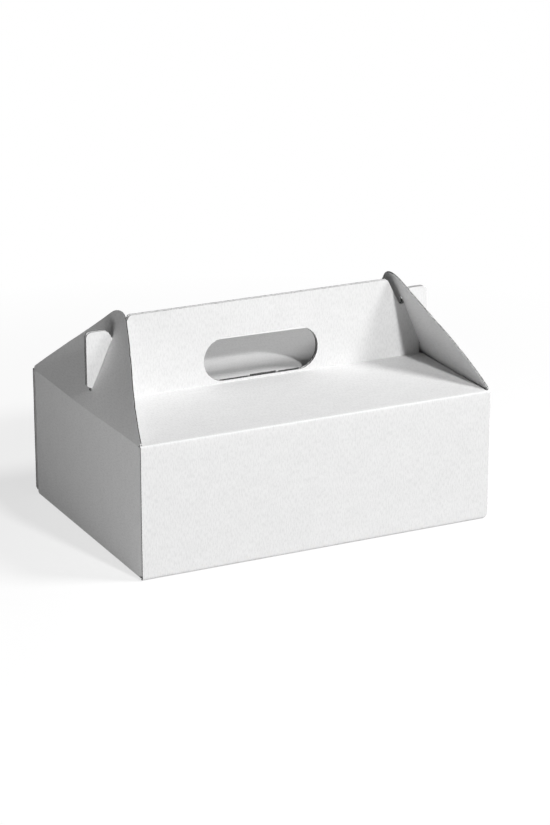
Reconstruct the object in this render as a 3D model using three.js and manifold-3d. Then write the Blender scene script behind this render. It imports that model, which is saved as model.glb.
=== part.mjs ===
// Carry tray box: one sheet of white E-flute board, die-cut, folded and glued at its four corners.
// The long walls fold over into two top panels and stand up as a two-ply handle. A gable flap on
// each end wall leans in, and its slit hooks over the tab at that end of the handle.
// Millimetres, +Z up, front towards -Y, the length along X, the middle of the base at the origin.
import * as THREE from 'three';
import { mergeVertices } from 'three/addons/utils/BufferGeometryUtils.js';
import Module from 'manifold-3d';

const wasm = await Module();
wasm.setup();

// Board and folds
const board = 1.6;
const foldRadius = 0.9;
const chordError = 0.03;

// Tray, measured over the outside
const length = 393;
const depth = 282;
const wallHeight = 140;
const shoulderRise = 2.5;
const lowerCornerRadius = 6;
const shoulderGap = 1;
const shoulderSlack = 0.4;

// End walls and the glue tabs that close the corners
const creaseDrop = 1;
const cornerStub = 0.4;
const endBow = 1.5;
const glueTabLength = 45;
const glueTabLift = 4;

// Handle: heights are above the shoulder, where it stands up, and lengths run in from its ends
const handleHeight = 86.7;
const handleOffset = 2;
const plyGap = 1.8;
const handleCornerRadius = 4;
const tabEndInset = 0.5;
const tabWidth = 27.8;
const tabHeight = 74.5;
const tabInnerRadius = 10;
const tabOuterRadius = 6;
const notchWidth = 5.2;
const notchFlare = 14.8;
const notchFloorHeight = 58;
const notchRadius = 2.5;
const neckInset = 8;
const heelHeight = 18;
const heelDrop = 4;
const heelRadius = 1.5;

// Hand hole
const holeLength = 131;
const holeHeight = 46;
const holeEndFlat = 1;
const holeLip = 2.5;

// Gable flaps, drawn flat from their crease
const flapHeight = 107;
const flapInset = 3;
const flapShoulder = 4.4;
const flapPeakRadius = 33;
const flapShoulderRadius = 3;
const creaseGap = 0.3;
const slitClearance = 1.2;
const slitFootRoom = 3.9;
const slitCornerRadius = 2;
const seatGap = 0.3;

// Facets along the bowed walls
const bowSteps = 16;
const wallRows = 6;

const endX = length / 2;
const sideY = depth / 2;
const foldOuter = foldRadius + board;
const hingeX = endX + endBow;
const shoulderTop = wallHeight + shoulderRise;
const creaseHeight = wallHeight - creaseDrop;
const endWallReach = sideY - board - foldOuter - cornerStub;
const packHalf = plyGap / 2 + board;
const far = 30;

const handleTop = shoulderTop + handleHeight;
const notchFloor = shoulderTop + notchFloorHeight;
const tabTop = shoulderTop + tabHeight;
const tabHeel = shoulderTop + heelHeight;
const tabToe = tabHeel - heelDrop;
const tabOuter = endX - tabEndInset;
const tabInner = tabOuter - tabWidth;
const neckHalf = tabOuter - neckInset;
const notchInner = tabInner - notchWidth;
const handleTopHalf = notchInner - notchFlare;
const flapHalfBase = sideY - flapInset;

const paperWhite = new THREE.Color('#ececec');
const material = () => new THREE.MeshStandardMaterial({ color: paperWhite, roughness: 0.85, metalness: 0 });

function solidOf(geometry) {
  geometry.deleteAttribute('normal');
  geometry.deleteAttribute('uv');
  const merged = mergeVertices(geometry, 1e-5);
  return new wasm.Manifold(new wasm.Mesh({
    numProp: 3,
    vertProperties: new Float32Array(merged.attributes.position.array),
    triVerts: new Uint32Array(merged.index.array),
  }));
}

function meshOf(solid, name) {
  const { vertProperties, triVerts } = solid.getMesh();
  const geometry = new THREE.BufferGeometry();
  geometry.setAttribute('position', new THREE.BufferAttribute(vertProperties, 3));
  geometry.setIndex(new THREE.BufferAttribute(triVerts, 1));
  geometry.computeVertexNormals();
  const mesh = new THREE.Mesh(geometry, material());
  mesh.name = name;
  return mesh;
}

// Closed outline from corners [a, b, radius], each rounded by an arc where it has a radius.
function roundedOutline(corners) {
  return corners.flatMap(([a, b, radius = 0], index) => {
    const corner = new THREE.Vector2(a, b);
    if (radius === 0) return [corner];
    const before = corners.at(index - 1);
    const after = corners[(index + 1) % corners.length];
    const toBefore = new THREE.Vector2(before[0] - a, before[1] - b).normalize();
    const toAfter = new THREE.Vector2(after[0] - a, after[1] - b).normalize();
    const halfAngle = Math.acos(toBefore.dot(toAfter)) / 2;
    const inward = toBefore.clone().add(toAfter).normalize();
    const centre = corner.clone().addScaledVector(inward, radius / Math.sin(halfAngle));
    const start = corner.clone().addScaledVector(toBefore, radius / Math.tan(halfAngle)).sub(centre);
    const end = corner.clone().addScaledVector(toAfter, radius / Math.tan(halfAngle)).sub(centre);
    const sweep = Math.atan2(start.cross(end), start.dot(end));
    const steps = Math.ceil(Math.abs(sweep) / (2 * Math.acos(1 - chordError / radius)));
    return Array.from({ length: steps + 1 }, (_, step) => (
      start.clone().rotateAround(new THREE.Vector2(), sweep * step / steps).add(centre)));
  });
}

// Section of the board along a path of corners, with a rounded fold at each turn.
function foldedStrip(path) {
  const points = path.map(([a, b]) => new THREE.Vector2(a, b));
  const heading = (index) => points[index + 1].clone().sub(points[index]).normalize();
  const faceAt = (side) => points.map((point, index) => {
    const from = heading(Math.max(index - 1, 0));
    const to = heading(Math.min(index, points.length - 2));
    const turn = Math.atan2(from.cross(to), from.dot(to));
    const normal = new THREE.Vector2(-from.y - to.y, from.x + to.x).normalize();
    const shift = side * board / 2 / Math.cos(turn / 2);
    const inside = Math.sign(turn) === side;
    const radius = Math.abs(turn) < 0.02 ? 0 : foldRadius + (inside ? 0 : board);
    return [point.x + normal.x * shift, point.y + normal.y * shift, radius];
  });
  return roundedOutline([...faceAt(1), ...faceAt(-1).reverse()]);
}

// Runs an outline along x, drawn as (y, z), along y, drawn as (x, z), or along z, drawn as (x, y).
function prism(outline, axis, from, to, steps = 1) {
  const settings = { depth: to - from, steps, bevelEnabled: false };
  const geometry = new THREE.ExtrudeGeometry(new THREE.Shape(outline), settings);
  if (axis === 'z') return geometry.translate(0, 0, from);
  geometry.rotateX(Math.PI / 2);
  if (axis === 'y') return geometry.translate(0, to, 0);
  return geometry.rotateZ(Math.PI / 2).translate(from, 0, 0);
}

function block(x, y, z) {
  const size = new THREE.BoxGeometry(x[1] - x[0], y[1] - y[0], z[1] - z[0]);
  return size.translate((x[0] + x[1]) / 2, (y[0] + y[1]) / 2, (z[0] + z[1]) / 2);
}

function shiftX(geometry, offsetAt) {
  const position = geometry.attributes.position;
  for (let index = 0; index < position.count; index += 1) {
    const offset = offsetAt(position.getY(index), position.getZ(index));
    position.setX(index, position.getX(index) + offset);
  }
  return geometry;
}

// The end wall bows outwards: most at the middle of its crease, not at all at its other edges,
// and the last strip of facets beside each corner stays flat.
const bowReach = endWallReach * (1 - 2 / bowSteps);
const bowAcross = (y) => endBow * (1 - Math.min(1, Math.abs(y) / bowReach) ** 2) ** 2;
const bowAt = (y, z) => bowAcross(y) * Math.max(0, (z - foldOuter) / (creaseHeight - foldOuter)) ** 2;

// Base, long walls, top panels and both handle plies are one run of board around the x axis.
function wrapSection() {
  const half = [
    [plyGap / 2 + board / 2, handleTop],
    [plyGap / 2 + board / 2, shoulderTop - board / 2],
    [sideY - board / 2, wallHeight - board / 2],
    [sideY - board / 2, board / 2],
  ];
  const front = half.map(([y, z]) => [-y, z]);
  return foldedStrip([...front, ...half.reverse()]);
}

// Cut edge of one end of the handle, from its foot up to the top edge, on the right for end 1.
function handleEnd(end) {
  const corners = [
    [neckHalf, shoulderTop],
    [neckHalf, tabToe, 1],
    [tabOuter, tabHeel, heelRadius],
    [tabOuter, tabTop, tabOuterRadius],
    [tabInner, tabTop, tabInnerRadius],
    [tabInner, notchFloor, notchRadius],
    [notchInner, notchFloor, notchRadius],
    [handleTopHalf, handleTop, handleCornerRadius],
  ];
  return corners.map(([x, z, radius]) => [handleOffset + end * x, z, radius]);
}

// Side view of the die-cut sheet: everything below the shoulder, and the handle above it.
function sideOutline() {
  return roundedOutline([
    [-endX - far, -far],
    [endX + far, -far],
    [endX + far, shoulderTop],
    ...handleEnd(1),
    ...handleEnd(-1).reverse(),
    [-endX - far, shoulderTop],
  ]);
}

function handHoleOutline() {
  const low = shoulderTop + holeLip;
  const high = low + holeHeight;
  const corners = [[-1, low], [1, low], [1, high], [-1, high]];
  const radius = (holeHeight - holeEndFlat) / 2;
  return roundedOutline(corners.map(([side, z]) => [handleOffset + side * holeLength / 2, z, radius]));
}

// What the rounded lower corner of a long wall leaves out, at the right end for end 1.
function lowerCornerWaste(end) {
  const corner = endX;
  const inner = corner - lowerCornerRadius;
  const wall = roundedOutline([
    [end * (inner - far), 0],
    [end * corner, 0, lowerCornerRadius],
    [end * corner, far],
    [end * (inner - far), far],
  ]);
  const whole = block([inner, corner + 1].map((x) => end * x).sort((a, b) => a - b),
    [-sideY - 1, sideY + 1], [-1, lowerCornerRadius]);
  return solidOf(whole).subtract(solidOf(prism(wall, 'y', -sideY - 2, sideY + 2)));
}

// Room that the long run leaves at one end for the end wall's fold and for the gable flap.
function endRoom(end) {
  const span = (inner) => [end * inner, end * (endX + far)].sort((a, b) => a - b);
  const foldRoom = block(span(endX - foldOuter), [-endWallReach, endWallReach], [-1, foldOuter]);
  const flapReach = flapHalfBase + shoulderSlack;
  const panelEnd = hingeX - (shoulderTop - creaseHeight) * Math.tan(flapLean)
    - board / Math.cos(flapLean) - shoulderGap;
  const flapRoom = block(span(panelEnd), [-flapReach, flapReach],
    [wallHeight - 2 * board, shoulderTop + 1]);
  return solidOf(foldRoom).add(solidOf(flapRoom));
}

function endWall(end) {
  const middle = endX - board / 2;
  const foot = middle - 4 * board;
  const rows = Array.from({ length: wallRows }, (_, row) => creaseHeight * (row + 1) / wallRows);
  const path = [[foot, board / 2], [middle, board / 2], ...rows.map((z) => [middle, z])];
  const section = foldedStrip(path.map(([x, z]) => [end * x, z]));
  const wall = prism(section, 'y', -endWallReach, endWallReach, bowSteps);
  return solidOf(shiftX(wall, (y, z) => end * bowAt(y, z)));
}

// A tab folds in from the end wall's edge and is glued to the inside of the long wall.
function glueTab(end, side) {
  const middle = endX - board / 2;
  const tabY = sideY - board - board / 2;
  const path = [[middle - glueTabLength, tabY], [middle, tabY], [middle, endWallReach - 1]];
  const section = foldedStrip(path.map(([x, y]) => [end * x, side * y]));
  return solidOf(prism(section, 'z', glueTabLift, creaseHeight));
}

function carton() {
  let body = solidOf(prism(wrapSection(), 'x', -endX, endX));
  body = body.intersect(solidOf(prism(sideOutline(), 'y', -sideY - far, sideY + far)));
  body = body.subtract(solidOf(prism(handHoleOutline(), 'y', -packHalf - 1, packHalf + 1)));
  for (const end of [1, -1]) {
    body = body.subtract(lowerCornerWaste(end)).subtract(endRoom(end)).add(endWall(end));
    for (const side of [1, -1]) body = body.add(glueTab(end, side));
  }
  return meshOf(body, 'carton');
}

// The rounded inner top corner of the tab, as seen from the hinge line of the flap.
const tabCornerRun = hingeX - tabInner - tabInnerRadius;
const tabCornerRise = tabTop - tabInnerRadius - creaseHeight;

// How far a flap leans in from upright, with its outer face just clear of that corner.
const flapLean = Math.atan2(tabCornerRun, tabCornerRise)
  + Math.asin((tabInnerRadius + seatGap) / Math.hypot(tabCornerRun, tabCornerRise));

// Height at which the two sloping edges of a flap would meet, above its rounded peak.
function flapApex() {
  const centre = flapHeight - flapPeakRadius;
  const rise = centre - flapShoulder;
  const halfAngle = Math.acos(flapPeakRadius / Math.hypot(flapHalfBase, rise))
    - Math.atan2(rise, flapHalfBase);
  return centre + flapPeakRadius / Math.sin(halfAngle);
}

// The slit clears the tab all the way as the flap swings, also at the end that the handle leans to.
function slitOutline() {
  const nearest = Math.hypot(hingeX - handleOffset - neckHalf, tabToe - creaseHeight);
  const farthest = Math.hypot(tabCornerRun + handleOffset, tabCornerRise) + tabInnerRadius;
  const start = nearest - slitFootRoom;
  const end = farthest + slitClearance;
  const half = packHalf + slitClearance;
  const corners = [[-half, start], [half, start], [half, end], [-half, end]];
  return roundedOutline(corners.map(([y, z]) => [y, z, slitCornerRadius]));
}

// Flap for the right end, standing up from the hinge line, with its outer face towards +X.
function gableFlap(name) {
  const reach = 2 * far;
  const sheet = prism(roundedOutline([
    [-board, -board],
    [0, -board],
    [0, flapHeight + 1],
    [-board, flapHeight + 1],
  ]), 'y', -flapHalfBase, flapHalfBase, bowSteps);
  const outline = roundedOutline([
    [-flapHalfBase, -reach],
    [flapHalfBase, -reach],
    [flapHalfBase, flapShoulder, flapShoulderRadius],
    [0, flapApex(), flapPeakRadius],
    [-flapHalfBase, flapShoulder, flapShoulderRadius],
  ]);
  const belowCrease = block([-reach, reach], [-sideY, sideY], [-reach, creaseGap]).rotateY(flapLean);
  const flap = solidOf(shiftX(sheet, (y) => bowAcross(y) - endBow))
    .intersect(solidOf(prism(outline, 'x', -reach, reach)))
    .subtract(solidOf(prism(slitOutline(), 'x', -reach, reach)))
    .subtract(solidOf(belowCrease));
  return meshOf(flap, name);
}

// Each flap is set on the hinge line of its end wall and leans in over the top panels.
function placedFlap(name, end) {
  const mesh = gableFlap(name);
  mesh.position.set(hingeX, 0, creaseHeight);
  mesh.rotation.y = -flapLean;
  const endGroup = new THREE.Group();
  endGroup.rotation.z = end > 0 ? 0 : Math.PI;
  endGroup.add(mesh);
  return endGroup;
}

const carryTrayBox = new THREE.Group();
carryTrayBox.add(carton(), placedFlap('left_gable_flap', -1), placedFlap('right_gable_flap', 1));

export default carryTrayBox;
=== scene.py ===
import math

import bpy
import numpy as np
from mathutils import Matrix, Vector
from mathutils.geometry import delaunay_2d_cdt


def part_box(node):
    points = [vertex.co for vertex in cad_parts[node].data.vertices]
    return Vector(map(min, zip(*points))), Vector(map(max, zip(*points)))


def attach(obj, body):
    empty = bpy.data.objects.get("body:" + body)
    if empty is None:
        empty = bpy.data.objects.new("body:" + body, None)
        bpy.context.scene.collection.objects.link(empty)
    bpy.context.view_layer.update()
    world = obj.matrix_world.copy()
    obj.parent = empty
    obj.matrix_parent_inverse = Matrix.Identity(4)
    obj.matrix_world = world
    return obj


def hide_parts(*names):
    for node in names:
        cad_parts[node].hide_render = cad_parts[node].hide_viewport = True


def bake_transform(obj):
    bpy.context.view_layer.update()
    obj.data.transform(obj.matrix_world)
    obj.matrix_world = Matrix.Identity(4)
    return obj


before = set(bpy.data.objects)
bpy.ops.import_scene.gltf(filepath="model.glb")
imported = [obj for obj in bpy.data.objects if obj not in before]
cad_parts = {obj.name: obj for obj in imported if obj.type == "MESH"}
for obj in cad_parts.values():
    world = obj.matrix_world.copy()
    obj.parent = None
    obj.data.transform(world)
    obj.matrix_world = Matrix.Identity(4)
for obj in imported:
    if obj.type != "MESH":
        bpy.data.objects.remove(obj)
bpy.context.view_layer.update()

bl_info = {
    "name": "Carry tray box",
    "version": (1, 0, 0),
    "blender": (4, 5, 0),
    "location": "3D View > Sidebar > Tray Box",
    "description": "Folded white corrugated carry tray box with a handle and two gable flaps",
    "category": "Add Mesh",
}

MM = 0.001
CARTON_LOW, CARTON_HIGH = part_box("carton")

# The end walls bow out by this much at the middle of their crease, so the length is without it.
END_BOW = 1.5
LENGTH = 1000 * (CARTON_HIGH.x - CARTON_LOW.x) - 2 * END_BOW
DEPTH = 1000 * (CARTON_HIGH.y - CARTON_LOW.y)
HANDLE_TOP = 1000 * CARTON_HIGH.z

# The glue tabs of an end wall spring away from the long walls by this much at their folds.
SPRING = 2.0

# The glue tabs stay this far from the long walls.
TAB_GAP = 0.05

# An end wall starts to turn in under the box at this height.
BASE_FOLD = 2.5

# A strip of crushed board reaches this far to each side of a flap's crease.
CREASE_HALF = 1.8

# A flap's foot ends this far inside the outer faces of the long walls.
FLAP_INSET = 3

# A cut edge that stands open by less than this share shows no fluting.
SHALLOW = 0.3

# Places of the papers in the list of materials.
OUTER, INNER, EDGE, FLUTING = range(4)

# What each point of a line of fluting knows: its directions across and into the board, and its
# phase in the flutes' wave.
LINE_ATTRIBUTES = {"across": "FLOAT_VECTOR", "into": "FLOAT_VECTOR", "phase": "FLOAT"}


def length_setting(name, text, millimetres):
    return bpy.props.FloatProperty(
        name=name, description=text, default=millimetres * MM, unit="LENGTH", precision=5
    )


def angle_setting(name, text, degrees):
    return bpy.props.FloatProperty(
        name=name, description=text, default=math.radians(degrees), subtype="ANGLE"
    )


def power_setting(name, text, watts):
    return bpy.props.FloatProperty(name=name, description=text, default=watts, unit="POWER")


def colour_setting(name, text, hexadecimal):
    return bpy.props.FloatVectorProperty(
        name=name,
        description=text,
        subtype="COLOR",
        size=4,
        min=0,
        max=1,
        default=linear(hexadecimal),
    )


def linear(hexadecimal):
    """Linear RGBA of an sRGB hex colour."""
    parts = [int(hexadecimal[start : start + 2], 16) / 255 for start in (1, 3, 5)]
    return tuple(
        [part / 12.92 if part <= 0.04045 else ((part + 0.055) / 1.055) ** 2.4 for part in parts]
        + [1.0]
    )


class TrayBoxBoard(bpy.types.PropertyGroup):
    """The board that the box is cut from."""

    thickness: length_setting("Board thickness", "Both liners and the fluting between them", 1.6)
    liner: length_setting("Liner thickness", "Thickness of each outer paper", 0.24)
    pitch: length_setting("Flute pitch", "From one flute to the next", 3.3)
    fold: length_setting("Fold radius", "Radius of the board's middle at a fold", 1.45)
    corner: length_setting("Corner radius", "Radius where an end wall turns in", 3)
    slot: length_setting("Open edge depth", "How far one sees in between the liners", 2.4)
    bite: length_setting("Edge bite", "How far the cutting rule nibbles into the edge", 0.34)
    mesh: length_setting("Mesh spacing", "Distance between the points on a flat panel", 9)
    warp: length_setting("Warp", "How far a flat panel dips inwards", 0.35)
    seed: bpy.props.IntProperty(name="Seed", description="Varies the cut edges", default=4)


class TrayBoxShape(bpy.types.PropertyGroup):
    """Outer sizes of the folded box."""

    length: length_setting("Length", "Over the ends of the long walls", LENGTH)
    depth: length_setting("Depth", "Over both long walls", DEPTH)
    wall: length_setting("Wall height", "Height of the tray", 140)
    shoulder: length_setting("Shoulder rise", "How far the top rises to the handle", 2.5)
    bow: length_setting("End bow", "How far an end wall bows out at its crease", END_BOW)
    crease: length_setting("Crease drop", "How far the flap crease is under the wall top", 1)
    handle: length_setting("Handle top", "Top of the handle above the base", HANDLE_TOP)
    shift: length_setting("Handle shift", "How far the handle stands off the middle", 2)
    gap: length_setting("Ply gap", "Room between the two plies of the handle", 1.8)
    flap: length_setting("Flap height", "From the crease to the peak, along the flap", 107)
    wing: length_setting("Flap wing", "How far the sides of a flap stay out", 3)
    left_foot: angle_setting("Left lean at the crease", "Lean of the left flap's foot", 28)
    left_peak: angle_setting("Left lean at the peak", "Lean of the left flap's peak", 20.5)
    right_foot: angle_setting("Right lean at the crease", "Lean of the right flap's foot", 22)
    right_peak: angle_setting("Right lean at the peak", "Lean of the right flap's peak", 24.5)


class TrayBoxPaper(bpy.types.PropertyGroup):
    """Colours of the papers."""

    liner: colour_setting("Liner", "White outer paper", "#D8D8D8")
    liner_grain: colour_setting("Liner grain", "Where the white layer is thin", "#C4C4C4")
    edge: colour_setting("Cut edge", "The die-cut edge of a liner", "#CCCCCC")
    # Both fluting tones are darker than the paper itself: partly the paper's tone, partly painted
    # shade of the gaps between the liners at open cut edges.
    fluting: colour_setting("Fluting", "The wavy paper between the liners", "#505050")
    fluting_grain_and_shade: colour_setting("Fluting grain", "Fibres in the wavy paper", "#363636")


class TrayBoxStage(bpy.types.PropertyGroup):
    """Floor, lamps and camera."""

    floor: colour_setting("Floor", "Pale floor, as the box sees it", "#AEAEAE")
    backdrop: colour_setting("Backdrop", "Floor and sky, as the camera sees them", "#FFFFFF")
    sky: bpy.props.FloatProperty(name="Sky", description="Light from all round", default=0.02)
    key: power_setting("Key lamp", "Power of the lamp in front", 125)
    top: power_setting("Top lamp", "Power of the lamp above", 75)
    card: power_setting("Low card", "Power of the low fill at the left", 1.65)


def rounded(corners, chord=0.03):
    """Closed outline from corners (a, b, radius), each rounded where it has a radius.

    chord is how far a straight side of an arc may stay from the true arc.
    """
    points = []
    for index, (a, b, radius) in enumerate(corners):
        corner = np.array((a, b), float)
        if radius == 0:
            points.append(corner)
            continue
        before = np.array(corners[index - 1][:2], float) - corner
        after = np.array(corners[(index + 1) % len(corners)][:2], float) - corner
        before /= np.linalg.norm(before)
        after /= np.linalg.norm(after)
        half = math.acos(np.clip(before @ after, -1, 1)) / 2
        inward = (before + after) / np.linalg.norm(before + after)
        centre = corner + inward * radius / math.sin(half)
        start = corner + before * radius / math.tan(half) - centre
        end = corner + after * radius / math.tan(half) - centre
        sweep = math.atan2(start[0] * end[1] - start[1] * end[0], start @ end)
        steps = max(3, math.ceil(abs(sweep) / (2 * math.acos(1 - chord / radius))))
        for step in range(steps + 1):
            turn = sweep * step / steps
            cos, sin = math.cos(turn), math.sin(turn)
            points.append(
                centre + (start[0] * cos - start[1] * sin, start[0] * sin + start[1] * cos)
            )
    return np.array(points)


def split_long(outline, longest):
    """The outline with points added, so that no side is longer than this."""
    points = []
    for start, end in zip(outline, np.roll(outline, -1, axis=0)):
        steps = max(1, math.ceil(np.linalg.norm(end - start) / longest))
        points.extend(start + (end - start) * step / steps for step in range(steps))
    return np.array(points)


def inside(points, outlines):
    """Which points lie within the outlines, where an outline in another is a hole."""
    result = np.zeros(len(points), bool)
    for outline in outlines:
        for start, end in zip(outline, np.roll(outline, -1, axis=0)):
            low, high = (start, end) if start[1] <= end[1] else (end, start)
            crosses = (points[:, 1] >= low[1]) & (points[:, 1] < high[1])
            rise = high[1] - low[1]
            if rise == 0:
                continue
            at = low[0] + (points[:, 1] - low[1]) * (high[0] - low[0]) / rise
            result ^= crosses & (points[:, 0] < at)
    return result


class FoldedPath:
    """The middle of the board along straight runs with a rounded fold at each corner."""

    def __init__(self, corners, radius, steps=6):
        corners = np.array(corners, float)
        heading = np.diff(corners, axis=0)
        lengths = np.linalg.norm(heading, axis=1)
        angles = np.unwrap(np.arctan2(heading[:, 1], heading[:, 0]))
        distance, points, turns = [0.0], [corners[0]], [angles[0]]
        self.folds = []
        trimmed = 0.0
        for index in range(1, len(corners) - 1):
            turn = angles[index] - angles[index - 1]
            trim = radius * math.tan(abs(turn) / 2)
            run = lengths[index - 1] - trimmed - trim
            direction = np.array((math.cos(angles[index - 1]), math.sin(angles[index - 1])))
            points.append(points[-1] + direction * run)
            distance.append(distance[-1] + run)
            turns.append(angles[index - 1])
            self.folds.append(distance[-1])
            side = math.copysign(1, turn)
            normal = np.array((-direction[1], direction[0])) * side
            centre = points[-1] + normal * radius
            for step in range(1, steps + 1):
                angle = angles[index - 1] + turn * step / steps
                out = np.array((math.sin(angle), -math.cos(angle))) * side
                points.append(centre + out * radius)
                distance.append(distance[-1] + radius * abs(turn) / steps)
                turns.append(angle)
                self.folds.append(distance[-1])
            trimmed = trim
        run = lengths[-1] - trimmed
        points.append(points[-1] + run * np.array((math.cos(angles[-1]), math.sin(angles[-1]))))
        distance.append(distance[-1] + run)
        turns.append(angles[-1])
        self.distance = np.array(distance)
        self.points = np.array(points)
        self.turns = np.array(turns)

    def place(self, at):
        """Point of the board's middle and its outward direction, for each distance."""
        a = np.interp(at, self.distance, self.points[:, 0])
        b = np.interp(at, self.distance, self.points[:, 1])
        turn = np.interp(at, self.distance, self.turns)
        return a, b, np.sin(turn), -np.cos(turn)


def nibbled(sheet, outline, board):
    """The outline with close points, bitten in a little at each flute as a cutting rule does."""
    points_in_flute, probe = 3, 0.3
    fine = split_long(outline, board["pitch"] / points_in_flute)
    ahead = np.roll(fine, -1, axis=0) - np.roll(fine, 1, axis=0)
    ahead /= np.maximum(np.linalg.norm(ahead, axis=1), 1e-9)[:, None]
    left = np.stack([-ahead[:, 1], ahead[:, 0]], axis=1)
    inward = np.where(inside(fine + left * probe, sheet.outlines)[:, None], left, -left)
    random = np.random.default_rng(board["seed"]).random(len(fine))
    at_flute = 0.5 + 0.5 * np.cos(math.tau * fine[:, sheet.flutes] / board["pitch"])
    by_flute = 0.6
    bite = board["bite"] * (by_flute * at_flute + (1 - by_flute) * random)
    nick_half, least = 1.8, 0.4
    for at, depth in sheet.nicks:
        bite += depth * (least + (1 - least) * random) * (np.abs(fine[:, 0] - at) < nick_half)
    return fine + inward * (bite * (sheet.openness(fine) > 0))[:, None]


def flat_mesh(sheet, board):
    """Triangles that fill a flat outline, with lines of points along its folds."""
    rows, columns, spacing = sheet.rows, sheet.columns, board["mesh"]
    shape = [nibbled(sheet, outline, board) for outline in sheet.outlines]
    low, high = shape[0].min(0), shape[0].max(0)
    counts = np.maximum(1, np.ceil((high - low) / spacing)).astype(int)
    # Even lines of points keep off the folds, and all points but those on a fold keep off the
    # border by a share of their spacing.
    off_fold, off_border, off_border_on_fold = 1.5, 0.3, 0.5
    lines = []
    for axis, folds in enumerate((columns, rows)):
        even = np.linspace(low[axis], high[axis], counts[axis] + 1)[1:-1]
        even = [at for at in even if all(abs(at - fold) > off_fold for fold in folds)]
        lines.append(np.concatenate([even, folds]))
    grid = np.array([(u, v) for v in lines[1] for u in lines[0]])
    grid = grid[inside(grid, shape)]
    border = np.concatenate(shape)
    near = np.array([np.abs(border - point).max(1).min() for point in grid])
    on_fold = np.isin(grid[:, 1], rows) | np.isin(grid[:, 0], columns)
    grid = grid[(near > spacing * off_border) | (on_fold & (near > off_border_on_fold))]
    points = [Vector(point) for point in np.concatenate([border, grid])]
    edges, start = [], 0
    for outline in shape:
        count = len(outline)
        edges += [(start + index, start + (index + 1) % count) for index in range(count)]
        start += count
    margin, merged, sliver = 5, 1e-4, 1e-7
    folds = [((low[0] - margin, v), (high[0] + margin, v)) for v in rows]
    folds += [((u, low[1] - margin), (u, high[1] + margin)) for u in columns]
    for fold in folds:
        points += [Vector(end) for end in fold]
        edges.append((len(points) - 2, len(points) - 1))
    found, _, faces, *_ = delaunay_2d_cdt(points, edges, [], 0, merged)
    found = np.array([(p.x, p.y) for p in found])
    faces = np.array(faces)
    keep = inside(found[faces].mean(1), shape)
    corner = found[faces]
    first, second = corner[:, 1] - corner[:, 0], corner[:, 2] - corner[:, 0]
    area = first[:, 0] * second[:, 1] - first[:, 1] * second[:, 0]
    keep &= np.abs(area) > sliver
    faces = np.where((area > 0)[:, None], faces, faces[:, ::-1])[keep]
    used, faces = np.unique(faces, return_inverse=True)
    return found[used], faces.reshape(-1, 3)


def border_loops(faces):
    """Loops of point numbers along the border of the triangles, the filled side on the left."""
    edges = {(a, b) for face in faces.tolist() for a, b in zip(face, face[1:] + face[:1])}
    following = {a: b for a, b in edges if (b, a) not in edges}
    loops = []
    while following:
        start, onward = next(iter(following.items()))
        loop = [start]
        del following[start]
        while onward != start:
            loop.append(onward)
            onward = following.pop(onward)
        loops.append(np.array(loop))
    return loops


class Sheet:
    """A flat-cut piece of board, and where each of its points goes when it is folded.

    outlines are in the flat, in millimetres; place(flat, height) gives points in the frame for
    heights above the board's middle; flutes names the flat direction across the flutes, 0 or 1;
    openness(flat) says how far the cut edge stands open, from 0 for a joined edge to 1; nicks
    lists where the edge is torn, as the place along the first flat direction and the depth;
    frayed lists stretches of fluting that stand out of a cut, as two ends and the way out.
    """

    def __init__(
        self, outlines, place, flutes, openness, rows=(), columns=(), nicks=(), frayed=()
    ):
        self.outlines = outlines
        self.place = place
        self.flutes = flutes
        self.openness = openness
        self.rows = rows
        self.columns = columns
        self.nicks = nicks
        self.frayed = frayed


def inward_directions(flat, loop):
    """Mitred inward direction at each point of a border loop."""
    ahead = np.roll(flat[loop], -1, axis=0) - flat[loop]
    ahead /= np.linalg.norm(ahead, axis=1)[:, None]
    normal = np.stack([-ahead[:, 1], ahead[:, 0]], axis=1)
    mean = normal + np.roll(normal, 1, axis=0)
    mean /= np.maximum(np.linalg.norm(mean, axis=1), 1e-6)[:, None]
    sharpest = 0.6
    cosine = np.clip((mean * normal).sum(1), sharpest, 1)
    return mean / cosine[:, None]


def edge_openness(sheet, flat, loop):
    """How far each border point stands open: less where the cut runs along the flutes."""
    points = flat[loop]
    ahead = np.roll(points, -2, axis=0) - np.roll(points, 2, axis=0)
    ahead /= np.maximum(np.linalg.norm(ahead, axis=1), 1e-9)[:, None]
    over_flutes = np.abs(ahead[:, sheet.flutes])
    along_flutes = 0.8
    # A sharp corner is crushed. How straight the cut runs there is a cosine.
    turn = np.abs((ahead * np.roll(ahead, 3, axis=0)).sum(1))
    sharp, to_straight, crushed = 0.55, 0.4, 0.25
    calm = np.clip((turn - sharp) / to_straight, crushed, 1)
    open_by = sheet.openness(points) * (along_flutes + (1 - along_flutes) * over_flutes) * calm
    closed = (open_by == 0) | (np.roll(open_by, 1) == 0) | (np.roll(open_by, -1) == 0)
    return np.where(closed, 0, open_by)


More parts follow.
